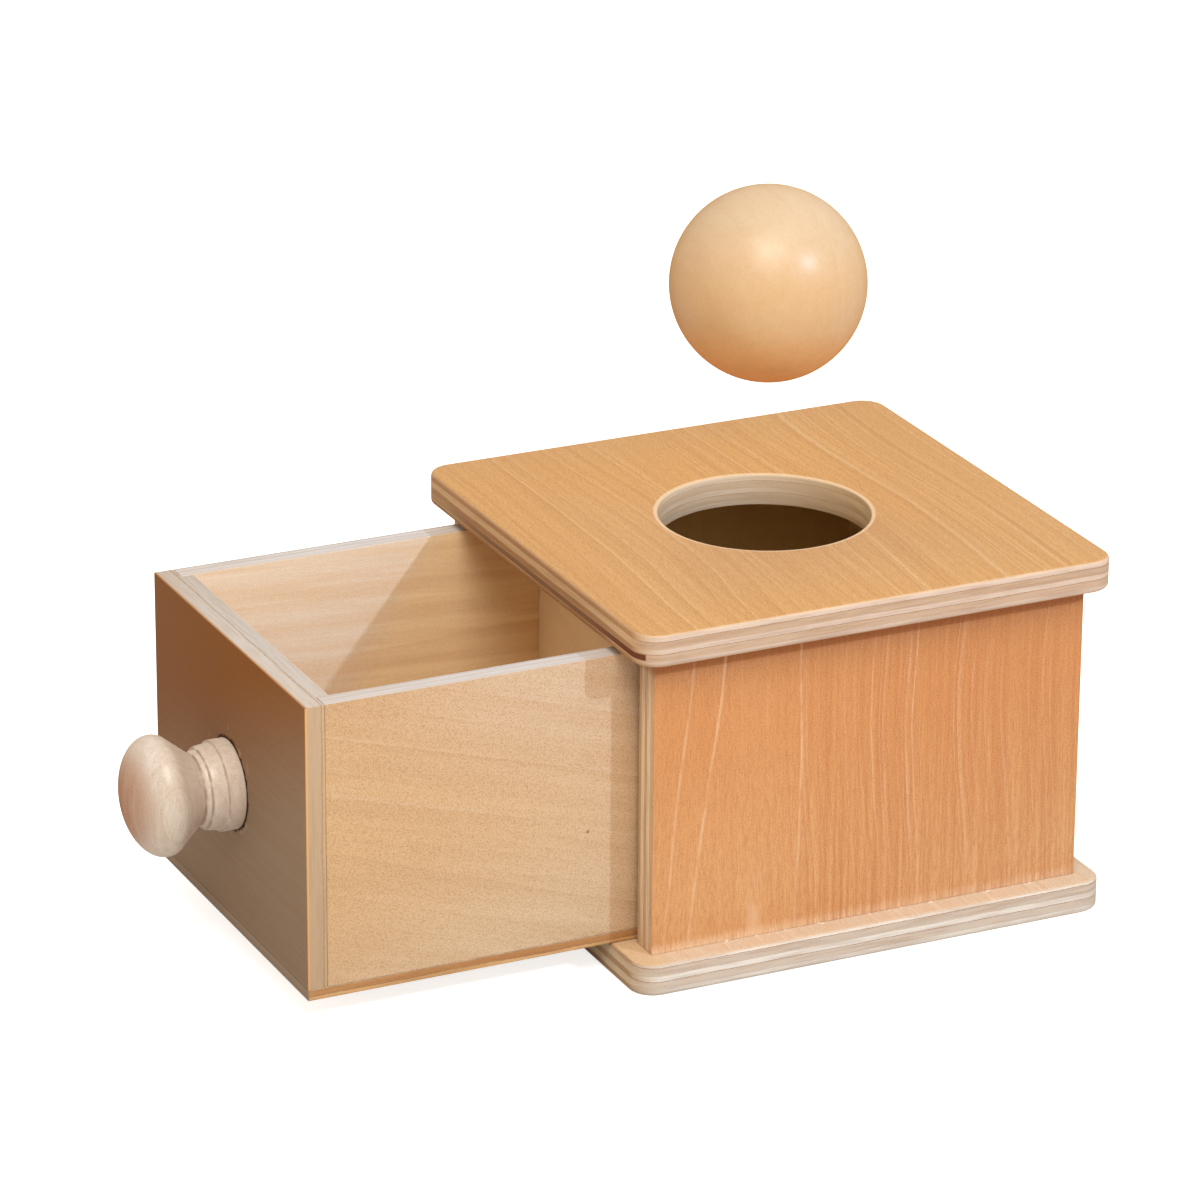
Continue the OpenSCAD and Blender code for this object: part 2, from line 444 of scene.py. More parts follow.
def spun(section, seat_y, axis_z):
    """Spins a half section, given as radius and height, round a level axis that points out of the drawer."""
    bm = bmesh.new()
    verts = [bm.verts.new((r, seat_y - h, axis_z)) for r, h in section]
    edges = [bm.edges.new(pair) for pair in zip(verts, verts[1:])]
    bmesh.ops.spin(
        bm, geom=verts + edges, cent=(0, seat_y, axis_z), axis=(0, 1, 0), angle=math.tau,
        steps=SPIN_STEPS, use_merge=True,
    )
    bmesh.ops.remove_doubles(bm, verts=bm.verts, dist=WELD)
    return bm


knob_section = [
    (0, 0),
    *arc(flange_radius, SEAT_EASE, SEAT_EASE, SEAT_EASE, -90, 0, 5),
    *arc(flange_radius, flange - SEAT_EASE, SEAT_EASE, SEAT_EASE, 0, 80, 5),
    *arc(bead_radius, flange, flange_radius - KNOB_STEP - bead_radius, bead - flange, 4, 86, 12),
    *arc(KNOB_NECK_RADIUS, bead, bead_radius - KNOB_STEP - KNOB_NECK_RADIUS, neck - bead, 4, 86, 6),
    *arc(head_radius - rim_radius, rim, rim_radius, knob_height * RIM_LENGTH, -45, 0, 8),
    *arc(0, rim, head_radius, knob_height - rim, 5, 90, 28),
]
make_piece("turned_knob", spun(knob_section, knob_high.y, knob_axis_z), "drawer", "knob")

# %% [markdown]
# The ball is turned too. A half circle on the lathe's axis gives an even sphere whose poles lie level, where
# a real ball was held between centres.

# %% Ball
ball_section = arc(0, ball_radius, ball_radius, ball_radius, -90, 90, 64)
ball_axis_z = (ball_low.z + ball_high.z) / 2
make_piece("turned_ball", spun(ball_section, ball_high.y, ball_axis_z), "ball", "ball")

# %% [markdown]
# A few specks of white glue were squeezed out along the foot of the right wall and have dried there.
# They are a string of tiny flattened balls in the corner between wall and base, with their places and sizes
# drawn from a seeded generator, so that every run gives the same string.

# %% Glue specks
GLUE_SEED = 11
GLUE_COUNT = 24
SPECK_RADII_MM = (0.10, 0.30)
SPECK_STRETCH = (1.0, 2.2)
SPECK_FLATNESS = 0.6
SPECK_OUT_MM = (0.0, 0.5)
FRONT_CLEAR, BACK_CLEAR = 22 * MM, 12 * MM
wall_low, wall_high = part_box("right_wall")
draw = random.Random(GLUE_SEED)
bm = bmesh.new()
for _ in range(GLUE_COUNT):
    radius = draw.uniform(*SPECK_RADII_MM) * MM
    speck = bmesh.ops.create_icosphere(bm, subdivisions=1, radius=radius)["verts"]
    bmesh.ops.scale(bm, vec=(1.0, draw.uniform(*SPECK_STRETCH), SPECK_FLATNESS), verts=speck)
    along_wall = draw.uniform(wall_low.y + FRONT_CLEAR, wall_high.y - BACK_CLEAR)
    out = draw.uniform(*SPECK_OUT_MM) * MM
    bmesh.ops.translate(bm, vec=(wall_high.x + out, along_wall, wall_low.z), verts=speck)
make_piece("glue_specks", bm, "housing", None)

# %% [markdown]
# All woods share a few patterns, so these are node groups, built once and placed in every material.
# Each takes a place on the board and some numbers. Drawing that place out along the grain turns round noise
# into long streaks.

# %% Helpers for node groups


def new_group(name, inputs, outputs):
    """An empty node group that takes a place and numbers, and gives numbers."""
    group = bpy.data.node_groups.new(name, "ShaderNodeTree")
    group.interface.new_socket("Board", in_out="INPUT", socket_type="NodeSocketVector")
    for way, labels in (("INPUT", inputs), ("OUTPUT", outputs)):
        for label in labels:
            group.interface.new_socket(label, in_out=way, socket_type="NodeSocketFloat")
    return group, group.nodes.new("NodeGroupInput").outputs, group.nodes.new("NodeGroupOutput").inputs


def noise(vector, scale, detail=2.0, roughness=0.5):
    """Three-dimensional noise, from about 0.2 to 0.8."""
    inputs = {"Vector": vector, "Scale": scale, "Detail": detail, "Roughness": roughness}
    return wire("TexNoise", inputs).outputs["Fac"]


def sway(vector, scale, detail, reach):
    """Noise that swings to either side of nothing."""
    return times(maths("SUBTRACT", noise(vector, scale, detail), 0.5), reach)


def xyz(vector):
    return wire("SeparateXYZ", {0: vector}).outputs


def stretched(vector, stretch):
    """The same place, drawn out along the grain."""
    part = xyz(vector)
    along = maths("DIVIDE", part["X"], stretch)
    return wire("CombineXYZ", {"X": along, "Y": part["Y"], "Z": part["Z"]}).outputs[0]


print("helpers for node groups ready")

# %% [markdown]
# Veneer is a thin slice of a tree, and shows its years as lines along the grain.
# Each year begins with a pale line and darkens slowly, like the teeth of a saw, so the group works in years:
# a place across the board is divided by the usual width of a year, and the fraction that is left says how
# late in the year the wood grew. A slow noise bends the lines, a second one makes the years unequal, and a
# number per year lets some lines stand out while others almost vanish.

# %% Node group: growth lines
BEND_STRETCH = 1 / 0.45
DRIFT_SCALE, RIPPLE_SCALE, RIPPLE = 12.0, 75.0, 0.04
UNEVEN_SCALE, UNEVEN = 0.6, 1.4
AUTUMN_POWER = 3.0

growth_lines, enter, leave = new_group(
    "growth_lines", ("Year", "Wander", "Line"), ("Pale Line", "Late Wood")
)
bent = stretched(enter["Board"], BEND_STRETCH)
drift = sway(bent, DRIFT_SCALE, 1.0, 1.0)
drift = maths("ADD", drift, sway(bent, RIPPLE_SCALE, 1.0, RIPPLE))
across = maths("ADD", xyz(enter["Board"])["Y"], times(drift, enter["Wander"]))
years = maths("DIVIDE", across, enter["Year"])
uneven = wire("TexNoise", {"W": years, "Scale": UNEVEN_SCALE, "Detail": 1.0}, noise_dimensions="1D")
years = maths("ADD", years, times(uneven.outputs["Fac"], UNEVEN))
season = maths("FRACT", years)
number = maths("FLOOR", years)
strong = wire("TexWhiteNoise", {"W": number}, noise_dimensions="1D").outputs["Value"]
spring = ramp_up(season, 0.0, enter["Line"], 1.0, 0.0)
autumn = maths("POWER", season, AUTUMN_POWER)
growth_lines.links.new(times(spring, ramp_up(strong, 0.30, 1.0)), leave["Pale Line"])
growth_lines.links.new(times(autumn, ramp_up(strong, 0.0, 0.8, 0.3, 1.0)), leave["Late Wood"])
print("group", growth_lines.name, "has", len(growth_lines.nodes), "nodes")

# %% [markdown]
# Between the lines, wood is made of fibres.
# Noise that is stretched along the grain gives soft streaks and, much finer, the short flecks of beech. Noise
# that isn't stretched gives the sandy mottle of a sanded surface, and coarse noise gives clouds of colour.

# %% Node group: fibres
FLECK_LENGTH, FLECK_WIDTH = 3.2 * MM, 0.30 * MM
CLOUD_SIZE, CLOUD_STRETCH = 28 * MM, 2.5

fibres, enter, leave = new_group(
    "fibres", ("Streak Width", "Stretch", "Grit"), ("Streak", "Fleck", "Mottle", "Cloud")
)
whole = enter["Board"]
streaks_per_metre = maths("DIVIDE", 1.0, enter["Streak Width"])
grains_per_metre = maths("DIVIDE", 1.0, enter["Grit"])
streak = noise(stretched(whole, enter["Stretch"]), streaks_per_metre, 4.0, 0.6)
fleck = noise(stretched(whole, FLECK_LENGTH / FLECK_WIDTH), 1 / FLECK_WIDTH)
mottle = noise(whole, grains_per_metre, 2.0, 0.6)
cloud = noise(stretched(whole, CLOUD_STRETCH), 1 / CLOUD_SIZE, 3.0)
fibres.links.new(ramp_up(streak, 0.30, 0.70), leave["Streak"])
fibres.links.new(ramp_up(fleck, 0.42, 0.72), leave["Fleck"])
fibres.links.new(ramp_up(mottle, 0.30, 0.70), leave["Mottle"])
fibres.links.new(ramp_up(cloud, 0.35, 0.65), leave["Cloud"])
print("group", fibres.name, "has", len(fibres.nodes), "nodes")

# %% [markdown]
# A plywood edge shows its plies as stripes. The grain turns by a right angle from each ply to the next, so on
# one edge the first, third and fifth ply show the pale ends of their fibres while the others lie along it and
# look darker, and round the corner it is the other way about.
# The table below is one such section, read from one face to the other: where a ply starts, whether its grain
# crosses the face's grain, and how stained it is, with two thin glue lines among the plies. A colour ramp
# with hard steps looks a place up in it. A little fine noise frays the steps, and a noise that is stretched
# along the sheet streaks the plies.

# %% Node group: ply edge
PLY_SECTION = (
    (0.00, 0.0, 0.08), (0.19, 1.0, 0.00), (0.405, 1.0, 0.75), (0.425, 0.0, 0.00), (0.57, 1.0, 0.12),
    (0.79, 1.0, 0.75), (0.81, 0.0, 0.00),
)
VENEER = 0.035
FRAY_SCALE, FRAY = 1400.0, 0.03
WAVE_SCALE, WAVE = 45.0, 0.05
PATCH_SCALE, PATCH_STRETCH = 1100.0, (0.06, 0.06, 1.0)

ply_edge, enter, leave = new_group(
    "ply_edge", ("Depth", "Section"), ("Crossing", "Stain", "Face", "Patch")
)
whole = enter["Board"]
section = maths("ADD", enter["Section"], sway(whole, FRAY_SCALE, 2.0, FRAY))
section = maths("ADD", section, sway(whole, WAVE_SCALE, 1.0, WAVE))
plies = wire("ValToRGB", {"Fac": section})
plies.color_ramp.interpolation = "CONSTANT"
stops = plies.color_ramp.elements
while len(stops) < len(PLY_SECTION):
    stops.new(0.5)
for stop, (start, crossing, stain) in zip(stops, PLY_SECTION):
    stop.position = start
    stop.color = (crossing, stain, 0.0, 1.0)
ply = wire("SeparateColor", {0: plies.outputs["Color"]}).outputs
ply_edge.links.new(ply["Red"], leave["Crossing"])
ply_edge.links.new(ply["Green"], leave["Stain"])
from_middle = maths("ABSOLUTE", maths("SUBTRACT", enter["Depth"], 0.5))
ply_edge.links.new(ramp_up(from_middle, 0.5 - VENEER, 0.505 - VENEER / 2), leave["Face"])
along_sheet = wire("VectorMath", {0: whole, 1: PATCH_STRETCH}, operation="MULTIPLY").outputs["Vector"]
patch = noise(along_sheet, PATCH_SCALE, 3.0, 0.6)
ply_edge.links.new(ramp_up(patch, 0.40, 0.66), leave["Patch"])
print("group", ply_edge.name, "shows", len(PLY_SECTION), "layers")

# %% [markdown]
# A board has axes of its own: along its grain, across it, and through its thickness.
# A Mapping node could turn the patterns for each board. Picking the axes one by one says the same in words,
# and lets the grain lie at a slant. Fades run along these axes, from one place on the board to another.

# %% A board's own axes
AXES = {"x": 0, "y": 1, "z": 2}
ALONG, ACROSS, THROUGH = (1.0, 0.0, 0.0), (0.0, 1.0, 0.0), (0.0, 0.0, 1.0)


def board_place(tree, grain, across, thickness, slant=0.0):
    """The place on the board, its depth, and how far the surface looks along the grain."""
    spot = wire("TexCoord", tree=tree).outputs
    at = xyz(spot["Object"])
    x, y, z = (at[AXES[axis]] for axis in (grain, across, thickness))
    y = maths("ADD", y, times(x, slant))
    place = wire("CombineXYZ", {"X": x, "Y": y, "Z": z}).outputs[0]
    return place, z, maths("ABSOLUTE", xyz(spot["Normal"])[AXES[grain]])


def fade(place, direction, first, last, to_first=0.0, to_last=1.0):
    """Goes from to_first to to_last along a direction, between two places."""
    run = wire("VectorMath", {0: place, 1: direction}, operation="DOT_PRODUCT").outputs["Value"]
    return ramp_up(run, first, last, to_first, to_last)


print("a board's directions:", ALONG, ACROSS, THROUGH)

# %% [markdown]
# The colour of a wooden face is laid on in thin coats, as a painter of false grain would do it: the ground
# with its clouds and fades, then streaks, growth lines of several widths, flecks and grit.
# A look is a dictionary of the tones and of how much of each coat shows. Its years are rows of five numbers:
# the width of a year, the share of it that is the pale line, how strongly pale line and late wood show, and
# how patchy they are. A calm part of a board shows less figure, and covers lie over everything.

# %% Colour of a wooden face
COVER = 0.85
TONES = ("face", "cloud", "late", "pale", "fleck")


def tones(*chart):
    """The five tones of a wood, in the order of TONES."""
    return {name: colour(*tone) for name, tone in zip(TONES, chart)}


def wood_colour(place, look):
    """The colour of a wooden face, and the fibres that its sheen and relief follow."""
    fibre = wire("Group", {
        "Board": place, "Streak Width": look["streak_width"], "Stretch": look["stretch"],
        "Grit": look["grit"],
    }, node_tree=fibres).outputs
    tone = mix_colour(times(fibre["Cloud"], look["cloudy"]), look["face"], look["cloud"])
    for *run, end_tone in look.get("fades", ()):
        tone = mix_colour(fade(place, *run), tone, end_tone)
    figure = fade(place, *look["calm"]) if "calm" in look else 1.0
    tone = mix_colour(times(fibre["Streak"], figure, look["streaky"]), tone, look["late"])
    for year, line, pale, late, patchy in look["years"]:
        rings = wire("Group", {
            "Board": place, "Year": year, "Wander": look["wander"], "Line": line,
        }, node_tree=growth_lines).outputs
        shown = times(mix_value(patchy, 1.0, fibre["Cloud"]), figure)
        tone = mix_colour(times(rings["Late Wood"], shown, late), tone, look["late"])
        tone = mix_colour(times(rings["Pale Line"], shown, pale), tone, look["pale"])
    tone = mix_colour(times(fibre["Fleck"], look["flecked"]), tone, look["fleck"])
    tone = mix_colour(times(fibre["Mottle"], look["sandy"]), tone, look["pale"])
    dark_grit = ramp_up(fibre["Mottle"], 0.42, 0.10)
    tone = mix_colour(times(dark_grit, look["gritty"]), tone, look["fleck"])
    for *run, end_tone in look.get("covers", ()):
        tone = mix_colour(fade(place, *run, 0.0, COVER), tone, end_tone)
    return tone, fibre


print("a wood has", len(TONES), "tones")

# %% [markdown]
# One function makes the plywood of every board. What changes is which axis the grain follows, which one is
# the thickness, and the look.
# The faces get the coats above with a satin sheen, and the edges get the plies, raw and rougher. Which of the
# two a point belongs to follows from its depth in the board, as on the real thing, so a rounded edge wears
# through the veneer by itself. An edge that was cut across the face's grain has its own two colours, and so
# has one that was ripped along it.

# %% Plywood
EDGE_ROUGHNESS = 0.75
EDGE_MOTTLE = 0.15
FACE_SHEEN = (-0.04, 0.06)
FACE_RELIEF, MOTTLE_RELIEF = 0.08 * MM, 0.6


def sheen(fibre, roughness, spread):
    """The roughness of a face, which its flecks change a little."""
    smooth, rough = (roughness + part for part in spread)
    return ramp_up(fibre["Fleck"], 0.0, 1.0, smooth, rough)


def relief(height, strength, depth):
    return wire("Bump", {"Height": height, "Strength": strength, "Distance": depth}).outputs["Normal"]


def shade(inputs):
    """Ends a material: the shader with its inputs, and the output."""
    shader = wire("BsdfPrincipled", inputs)
    wire("OutputMaterial", {"Surface": shader.outputs["BSDF"]})
    return shader


def plywood(node, axes, look):
    """A plywood material for one board. axes: grain, across, thickness. look: its colours and finish."""
    material, tree = new_material(node + "_plywood")
    low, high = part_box(node)
    thin = AXES[axes[2]]
    place, deep, end_grain = board_place(tree, *axes, look["slant"])
    into = {"Value": deep, "From Min": low[thin], "From Max": high[thin]}
    depth = wire("MapRange", into).outputs["Result"]
    into |= {"To Min": look["section"][0], "To Max": look["section"][1]}
    section = wire("MapRange", into).outputs["Result"]
    edge = wire("Group", {"Board": place, "Depth": depth, "Section": section}, node_tree=ply_edge).outputs
    face, fibre = wood_colour(place, look)

    fibre_ends = maths("ABSOLUTE", maths("SUBTRACT", edge["Crossing"], end_grain))
    pale_ply, dark_ply = (
        mix_colour(end_grain, ripped, crosscut) for ripped, crosscut in zip(look["ripped"], look["crosscut"])
    )
    ply = mix_colour(fibre_ends, dark_ply, pale_ply)
    ply = mix_colour(times(edge["Patch"], look["patchy"]), ply, look["glue_line"])
    ply = mix_colour(edge["Stain"], ply, look["glue_line"])
    ply = mix_colour(times(fibre["Mottle"], EDGE_MOTTLE), ply, pale_ply)

    satin = sheen(fibre, look["roughness"], FACE_SHEEN)
    height = maths("SUBTRACT", times(fibre["Mottle"], MOTTLE_RELIEF), fibre["Fleck"])
    return material, shade({
        "Base Color": mix_colour(edge["Face"], ply, face),
        "Roughness": mix_value(edge["Face"], EDGE_ROUGHNESS, satin),
        "Specular IOR Level": look["gloss"],
        "Normal": relief(height, look["relief"], FACE_RELIEF),
    })


print("plywood ready, its edges with a roughness of", EDGE_ROUGHNESS)

# %% [markdown]
# The housing is honey-coloured beech veneer, redder on the walls and paler on the base.
# Each look starts from another and changes what differs. The walls are painted lighter towards their foot,
# more at one end of it, which is painted light bounced from the floor, and a pale glue line at their very
# foot also lifts the shade in the corner. They are calm towards the drawer. Their inner faces were left raw:
# a cover that fades in through the thickness of the board.

# %% Looks of the housing
RAW_WALL = colour(228, 202, 140)


def inner_face(node, axis, tone, start=0.4, end=0.6):
    """The fade through a board whose inner face has another tone."""
    low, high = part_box(node)
    outer, inner = sorted((low[axis], high[axis]), key=abs, reverse=True)
    return (THROUGH, outer + (inner - outer) * start, outer + (inner - outer) * end, tone)


PLY = {
    "crosscut": (colour(216, 191, 174), colour(203, 170, 145)),
    "ripped": (colour(224, 188, 148), colour(178, 132, 94)),
    "glue_line": colour(146, 104, 74), "patchy": 0.30, "section": (0.0, 1.0), "slant": 0.0,
    "relief": 0.25, "gloss": 0.12,
}
HONEY = PLY | {
    **tones((206, 153, 90), (209, 160, 100), (182, 126, 68), (230, 198, 156), (176, 120, 66)),
    "streak_width": 1.6 * MM, "stretch": 40.0, "grit": 0.5 * MM, "wander": 30 * MM,
    "years": ((6.5 * MM, 0.20, 0.42, 0.55, 0.0), (2.8 * MM, 0.30, 0.45, 0.45, 0.7)),
    "cloudy": 0.7, "streaky": 0.42, "flecked": 0.45, "sandy": 0.24, "gritty": 0.24, "roughness": 0.50,
}
LID = HONEY | {"fades": ((ALONG, -70 * MM, 70 * MM, colour(208, 159, 104)),)}
FOOT = HONEY | {
    **tones((211, 192, 175), (209, 184, 160), (203, 172, 140), (232, 212, 188), (190, 150, 110)),
    "fades": ((ACROSS, -58 * MM, -66 * MM, colour(211, 178, 138)),),
    "crosscut": (colour(226, 217, 209), colour(203, 186, 171)),
    "ripped": (colour(214, 194, 166), colour(172, 138, 108)), "section": (0.0, 0.89),
}
AMBER = HONEY | {
    **tones((206, 138, 82), (212, 147, 92), (188, 111, 57), (233, 190, 152), (181, 108, 60)),
    # Painted light: lighter towards the foot and more at one end of it, as if lit from the floor; the last
    # fade is a pale glue line at the foot, also painted over the corner's shade.
    "fades": (
        (ALONG, 74 * MM, 16 * MM, colour(222, 164, 110)),
        ((-1.0, 0.25, 0.0), -24 * MM, 4 * MM, colour(232, 180, 128)),
        (ALONG, 12.8 * MM, 9.2 * MM, colour(246, 212, 174)),
    ),
    "ripped": (colour(245, 222, 190), colour(203, 168, 136)),
    "years": (
        (13 * MM, 0.05, 0.85, 0.20, 0.0),
        (5.5 * MM, 0.20, 0.40, 0.45, 0.5),
        (2.4 * MM, 0.30, 0.55, 0.60, 1.0),
    ),
    "calm": (ACROSS, -34 * MM, -8 * MM, 0.25),
    "streak_width": 1.2 * MM, "stretch": 90.0, "wander": 40 * MM,
    "streaky": 0.55, "flecked": 0.42, "sandy": 0.16, "gritty": 0.20, "gloss": 0.25,
}
BOARD_LOOKS = {"lid": ("xyz", LID), "base_plate": ("xyz", FOOT)}
for node, axes in (("left_wall", "zyx"), ("right_wall", "zyx"), ("back_wall", "zxy")):
    raw_inside = inner_face(node, AXES[axes[2]], RAW_WALL)
    BOARD_LOOKS[node] = (axes, AMBER | {"covers": (raw_inside,)})
print("looks for", len(BOARD_LOOKS), "boards of the housing")

# %% [markdown]
# The drawer is pale sanded plywood with a lacquered front, whose dark brown is painted shade.
# The near side grows paler towards its back, and is painted lighter towards its foot, more so at the back,
# as light bounced from the floor. The far side's inner face is the palest; beyond a slanted border where the
# lamp's shadow falls, its tone is painted paler and warmer, painted light in the shade. The back's inner face
# is painted very pale, painted light in the shaded back of the drawer. The front is brown at its top and grey
# below, a sheen that is painted here as a fade.

# %% Looks of the drawer
RAW = colour(237, 212, 187)
FRONT_SHEEN = colour(147, 126, 110)

SAND = PLY | {
    **tones((222, 181, 136), (227, 192, 158), (207, 162, 111), (239, 213, 188), (186, 141, 96)),
    "streak_width": 5 * MM, "stretch": 12.0, "grit": 0.36 * MM, "wander": 26 * MM,
    "years": ((17 * MM, 0.12, 0.25, 0.35, 0.0), (5 * MM, 0.3, 0.15, 0.2, 1.0)),
    "cloudy": 0.8, "streaky": 0.35, "flecked": 0.10, "sandy": 0.36, "gritty": 0.37,
    "roughness": 0.6, "slant": 0.28, "gloss": 0.2,
    "ripped": (colour(212, 207, 209), colour(200, 193, 193)), "glue_line": colour(180, 166, 158),
}
NEAR_SIDE = SAND | {
    **tones((197, 154, 111), (201, 162, 124), (188, 143, 98), (224, 196, 170), (168, 126, 84)),
    # Painted light: the second and third fades make the side lighter towards its foot, more at its back, as
    # if lit from the floor.
    "fades": (
        (ALONG, -150 * MM, -85 * MM, colour(210, 181, 156)),
        (ACROSS, 66 * MM, 8 * MM, colour(212, 169, 120)),
        ((0.8, -1.0, 0.0), -125 * MM, -50 * MM, colour(222, 194, 163)),
        inner_face("drawer_right_side", AXES["x"], RAW),
    ),
}
FAR_SIDE = SAND | {
    **tones((232, 210, 189), (233, 212, 190), (222, 180, 136), (250, 236, 218), (218, 180, 140)),
    "fades": (
        # Painted light: beyond the lamp's shadow line the inner face is painted paler and warmer.
        ((1.0, -0.545, 0.0), -132 * MM, -116 * MM, colour(250, 221, 174)),
        inner_face("drawer_left_side", AXES["x"], colour(204, 166, 122), start=0.6, end=0.4),
    ),
    "sandy": 0.2, "gritty": 0.2, "streak_width": 3.4 * MM, "stretch": 20.0, "streaky": 0.60, "slant": 0.06,
}
# Painted light: the back's inner face is painted very pale to lift the shade inside the drawer.
INNER_BACK = SAND | tones(
    (250, 228, 192), (250, 228, 192), (240, 210, 166), (239, 213, 188), (230, 196, 150)
)
BOTTOM = SAND | {
    "face": colour(246, 226, 196), "cloud": colour(246, 226, 196),
    "crosscut": (colour(206, 158, 108), colour(160, 108, 66)),
    "ripped": (colour(216, 172, 122), colour(168, 116, 72)),
    "glue_line": colour(140, 92, 54), "patchy": 0.4, "section": (0.32, 0.56), "slant": 0.0,
}
FRONT = HONEY | {
    # Painted shade: the front's honey veneer is darkened to brown because the front faces away from the
    # lamps. The fade to FRONT_SHEEN is a painted sheen.
    "face": colour(132, 79, 36), "cloud": colour(130, 79, 38), "late": colour(120, 70, 30),
    "fades": (
        ((0.387, -0.922, 0.0), -78 * MM, -30 * MM, FRONT_SHEEN),
        inner_face("drawer_front", AXES["y"], RAW),
    ),
    "years": (), "flecked": 0.10, "streaky": 0.12, "sandy": 0.06, "gritty": 0.10,
    "roughness": 0.46, "gloss": 0.015, "relief": 0.12,
    "crosscut": (colour(205, 166, 124), colour(195, 165, 138)),
    "ripped": (colour(205, 198, 196), colour(197, 189, 185)), "glue_line": colour(166, 138, 108),
    "section": (0.60, 1.0),
}
BOARD_LOOKS |= {
    "drawer_front": ("xzy", FRONT),
    "drawer_left_side": ("yzx", FAR_SIDE),
    "drawer_right_side": ("yzx", NEAR_SIDE),
    "drawer_back": ("xzy", INNER_BACK),
    "drawer_bottom": ("yxz", BOTTOM),
}
shaders = {}
for node, (axes, look) in BOARD_LOOKS.items():
    material, shaders[node] = plywood(node, axes, look)
    pieces[node].data.materials.append(material)
print("plywood on", len(BOARD_LOOKS), "boards")

# %% [markdown]
# Joints are never quite closed: glue and dust leave a thin dark line between two boards.
# A band of a few tenths of a millimetre, measured from the joint's plane, is laid over the board's colour,
# and a noise wears it away in places. A strip of geometry could never be this thin. The same dark band runs
# along the lower edge of the drawer's bottom, where it is painted shade, and the drawer's right side has one
# pin knot.

# %% Joint lines, painted shade on the bottom's edge, and a pin knot
JOINT_AND_SHADE_BROWN = colour(124, 88, 52)
JOINT_WIDTH = 0.50 * MM
WEAR_SCALE = 320.0
KNOT_PLACE = (side_high.x, -77 * MM, 42.5 * MM)
KNOT_SIZE = 0.7 * MM


def place_on(key):
    """A point's place on a finished piece, whole and in its three parts."""
    spot = wire("TexCoord", tree=shaders[key].id_data).outputs["Object"]
    return spot, xyz(spot)


def lay_over(key, mask, tint, strength=1.0):
    """Puts a colour over what a finished piece already shows."""
    shown = shaders[key].inputs["Base Color"]
    covered = mix_colour(times(mask, strength), shown.links[0].from_socket, tint)
    shaders[key].id_data.links.new(covered, shown)


def joint_and_shade_line(key, axis, position, strength):
    spot, at = place_on(key)
    gap = maths("ABSOLUTE", maths("SUBTRACT", at[AXES[axis]], position))
    unworn = ramp_up(noise(spot, WEAR_SCALE), 0.30, 0.55)
    lay_over(key, times(ramp_up(gap, JOINT_WIDTH, 0.0), unworn), JOINT_AND_SHADE_BROWN, strength)


for key in ("drawer_right_side", "drawer_left_side"):
    joint_and_shade_line(key, "y", side_low.y, 0.18)
    joint_and_shade_line(key, "z", side_low.z, 0.6)
# Painted shade along the lower edge of the drawer's bottom.
joint_and_shade_line("drawer_bottom", "z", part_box("drawer_bottom")[0].z, 0.45)

spot, _ = place_on("drawer_right_side")
away = wire("VectorMath", {0: spot, 1: KNOT_PLACE}, operation="DISTANCE").outputs["Value"]
lay_over("drawer_right_side", ramp_up(away, KNOT_SIZE, KNOT_SIZE / 3), JOINT_AND_SHADE_BROWN, 0.7)
print("joint lines on 3 boards and one knot")

# %% [markdown]
# The top of the walls is darkened with painted shade, the shade that the lid's overhang casts on them.
# It is a soft band by height, the same on all three.

# %% Painted shade under the lid
UNDER_LID_SHADE = colour(140, 70, 28)
UNDER_LID_FULL, UNDER_LID_END = 3.2 * MM, 6.0 * MM
for key in ("left_wall", "right_wall", "back_wall"):
    _, at = place_on(key)
    # Painted shade of the lid's overhang on the top of each wall.
    painted_shade_under_lid = ramp_up(at["Z"], wall_high.z - UNDER_LID_END, wall_high.z - UNDER_LID_FULL)
    lay_over(key, painted_shade_under_lid, UNDER_LID_SHADE, 0.5)
print("dark band of", round(UNDER_LID_END / MM, 1), "mm under the lid")

# %% [markdown]
# Round the knob's seat runs a dark ring of painted shade, the shade in the gap between knob and front,
# which a noise makes ragged, with a few pale chips beyond it. The front is rubbed through along its edges,
# and its lacquer runs down over the edge of the drawer's bottom in the front's grey lower tone, which carries
# its painted sheen.
# All of these are masks by place: a distance from the knob's axis, or from an edge of the board.

# %% Wear and painted shade on the drawer's front
SEAT_SHADE = colour(46, 32, 16)
SEAT_FULL, SEAT_END = 0.5 * MM, 1.0 * MM
RAGGED_SCALE, RAGGED = 480.0, 2.4 * MM
CHIP_PALE = colour(196, 172, 148)
CHIP_SCALE, CHIPS_REACH = 380.0, 6 * MM
RUBBED_END, RUBBED_TOP = colour(226, 172, 112), colour(178, 130, 80)
RUBBED_WIDTH = 0.8 * MM
RUBBED_FULL, RUBBED_FROM = 0.1 * MM, 0.3 * MM
RUN_FULL, RUN_END = 0.15 * MM, 0.35 * MM


def from_axis(first, second):
    """How far a point lies from an axis, by its two distances from it."""
    flat = wire("CombineXYZ", {"X": first, "Y": second}).outputs[0]
    return wire("VectorMath", {0: flat}, operation="LENGTH").outputs["Value"]


spot, at = place_on("drawer_front")
radius = from_axis(at["X"], maths("SUBTRACT", at["Z"], knob_axis_z))
radius = maths("ADD", radius, sway(spot, RAGGED_SCALE, 2.0, RAGGED))
chipped = ramp_up(radius, KNOB_BASE_RADIUS + CHIPS_REACH, KNOB_BASE_RADIUS)
chips = times(chipped, ramp_up(noise(spot, CHIP_SCALE), 0.60, 0.66))
lay_over("drawer_front", chips, CHIP_PALE, 0.35)
# Painted shade in the gap round the knob's seat.
seat = ramp_up(radius, KNOB_BASE_RADIUS + SEAT_END, KNOB_BASE_RADIUS + SEAT_FULL)
lay_over("drawer_front", seat, SEAT_SHADE, 0.85)

